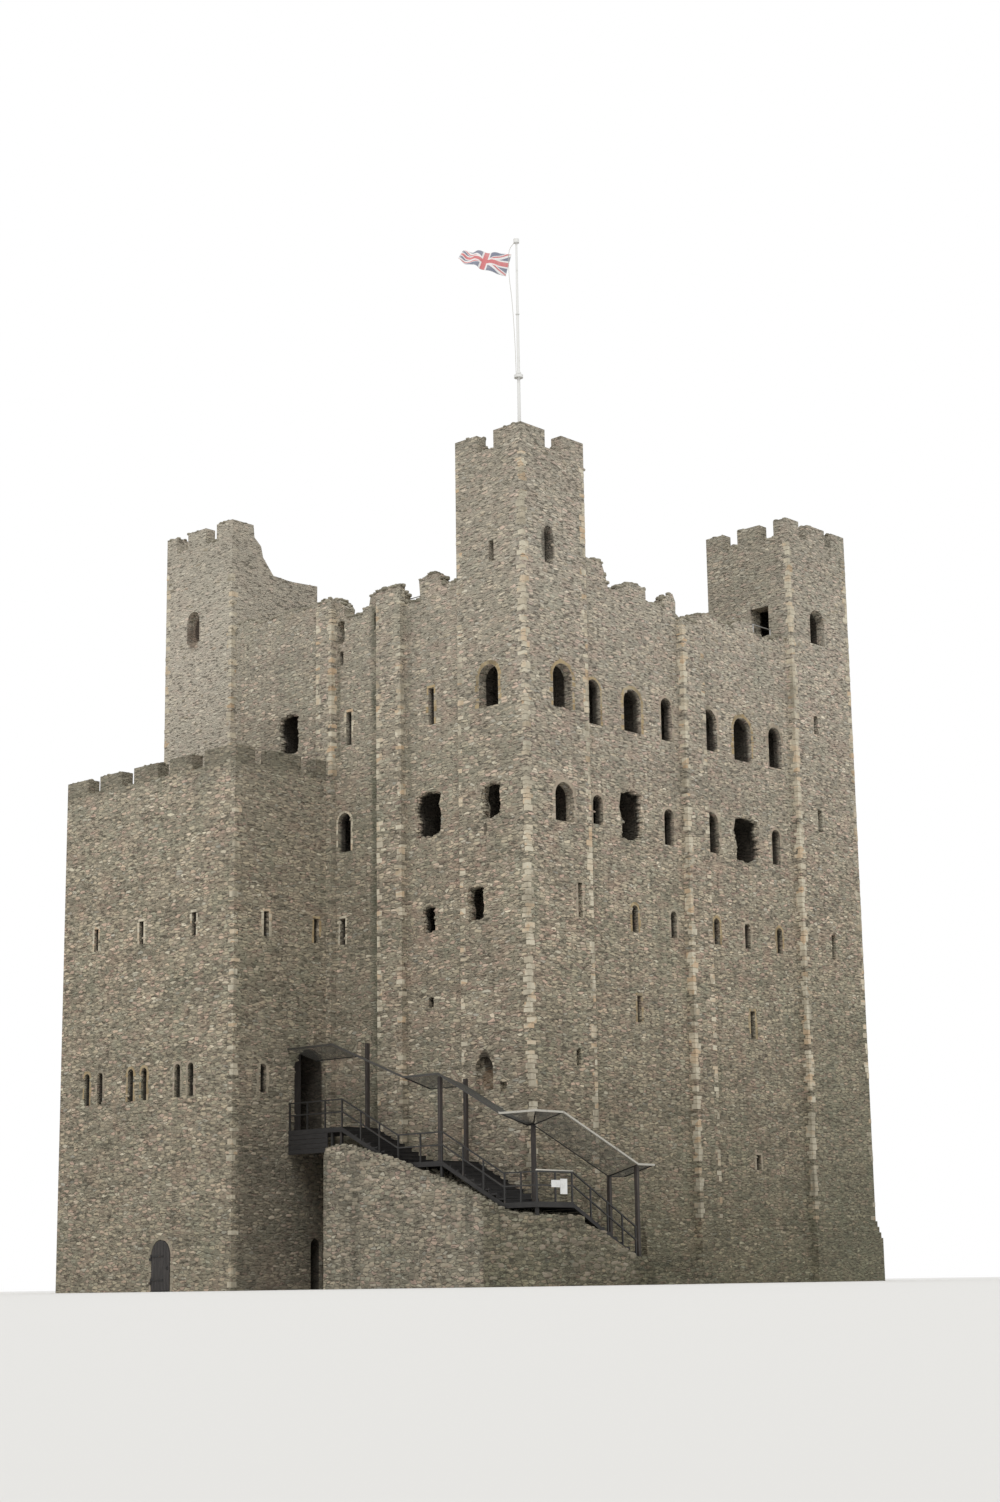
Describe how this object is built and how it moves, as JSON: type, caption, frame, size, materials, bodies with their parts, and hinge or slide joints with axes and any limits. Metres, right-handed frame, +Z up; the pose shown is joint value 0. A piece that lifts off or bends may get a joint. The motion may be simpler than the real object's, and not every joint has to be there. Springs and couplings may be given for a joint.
{
  "type": "castle keep, 1:2 scale model",
  "caption": "Roofless square stone keep with four corner turrets, an entrance tower with a hinged ground door, a covered outside stair and a flagpole; 1:2 scale model.",
  "frame": {"origin": "middle of the keep's square plan on the lowest ground, at the underside of the ground floor", "axes": "+Z up; -Y is the north face with the entrance tower and the upper stair; +X is the west face with the foot of the stair"},
  "size_m": [12.6, 13.17, 20.56],
  "materials": {
    "rubble_stone": "rough coursed rubble",
    "dark_stone": "rough weathered rubble",
    "timber": "sawn oak",
    "door_wood": "dark stained oak",
    "black_iron": "forged",
    "stair_timber": "weathered dark hardwood",
    "dark_steel": "dull dark paint",
    "mesh_steel": "see-through wire mesh",
    "pale_steel": "galvanised",
    "white_paint": "gloss paint",
    "rope": "twisted rope",
    "bunting": "faded woven bunting"
  },
  "bodies": {
    "building": {"keep_ground_floor": "dark_stone", "plinth": "rubble_stone", "north_wall": "rubble_stone", "west_wall": "rubble_stone", "south_wall": "rubble_stone", "east_wall": "rubble_stone", "nw_turret": "rubble_stone", "ne_turret": "rubble_stone", "sw_turret": "rubble_stone", "se_turret": "rubble_stone", "nw_turret_top": "rubble_stone", "ne_turret_top": "rubble_stone", "sw_turret_top": "rubble_stone", "se_turret_top": "rubble_stone", "north_parapet": "rubble_stone", "west_parapet": "rubble_stone", "south_parapet": "rubble_stone", "east_parapet": "rubble_stone", "entrance_floor": "timber", "second_floor": "timber", "third_floor": "timber", "gallery_floor": "timber", "tower_wall_beside_door": "dark_stone", "tower_wall_east_part": "dark_stone", "tower_wall_over_door": "dark_stone", "tower_west_wall": "dark_stone", "tower_east_wall": "dark_stone", "tower_floors": "timber", "tower_parapet": "dark_stone", "door_hinges": "black_iron", "entrance_door": "door_wood", "old_stair_base": "dark_stone", "stone_steps": "dark_stone", "stair_landings": "stair_timber", "upper_flight": "stair_timber", "lower_flight": "stair_timber", "west_flight": "stair_timber", "stair_legs": "dark_steel", "handrails": "dark_steel", "canopy_posts": "dark_steel", "canopy_mesh": "mesh_steel", "canopy_edges": "pale_steel", "flagpole": "white_paint", "halyard": "rope", "flag": "bunting"},
    "door_leaf": {"ground_door": "door_wood"}
  },
  "joints": [
    {"name": "ground_door_hinge", "type": "hinge", "parent": "building", "child": "door_leaf", "pos_m": [-2.49, -7.731, 0.2], "axis": [0, 0, -1], "range_deg": [0, 95]}
  ]
}
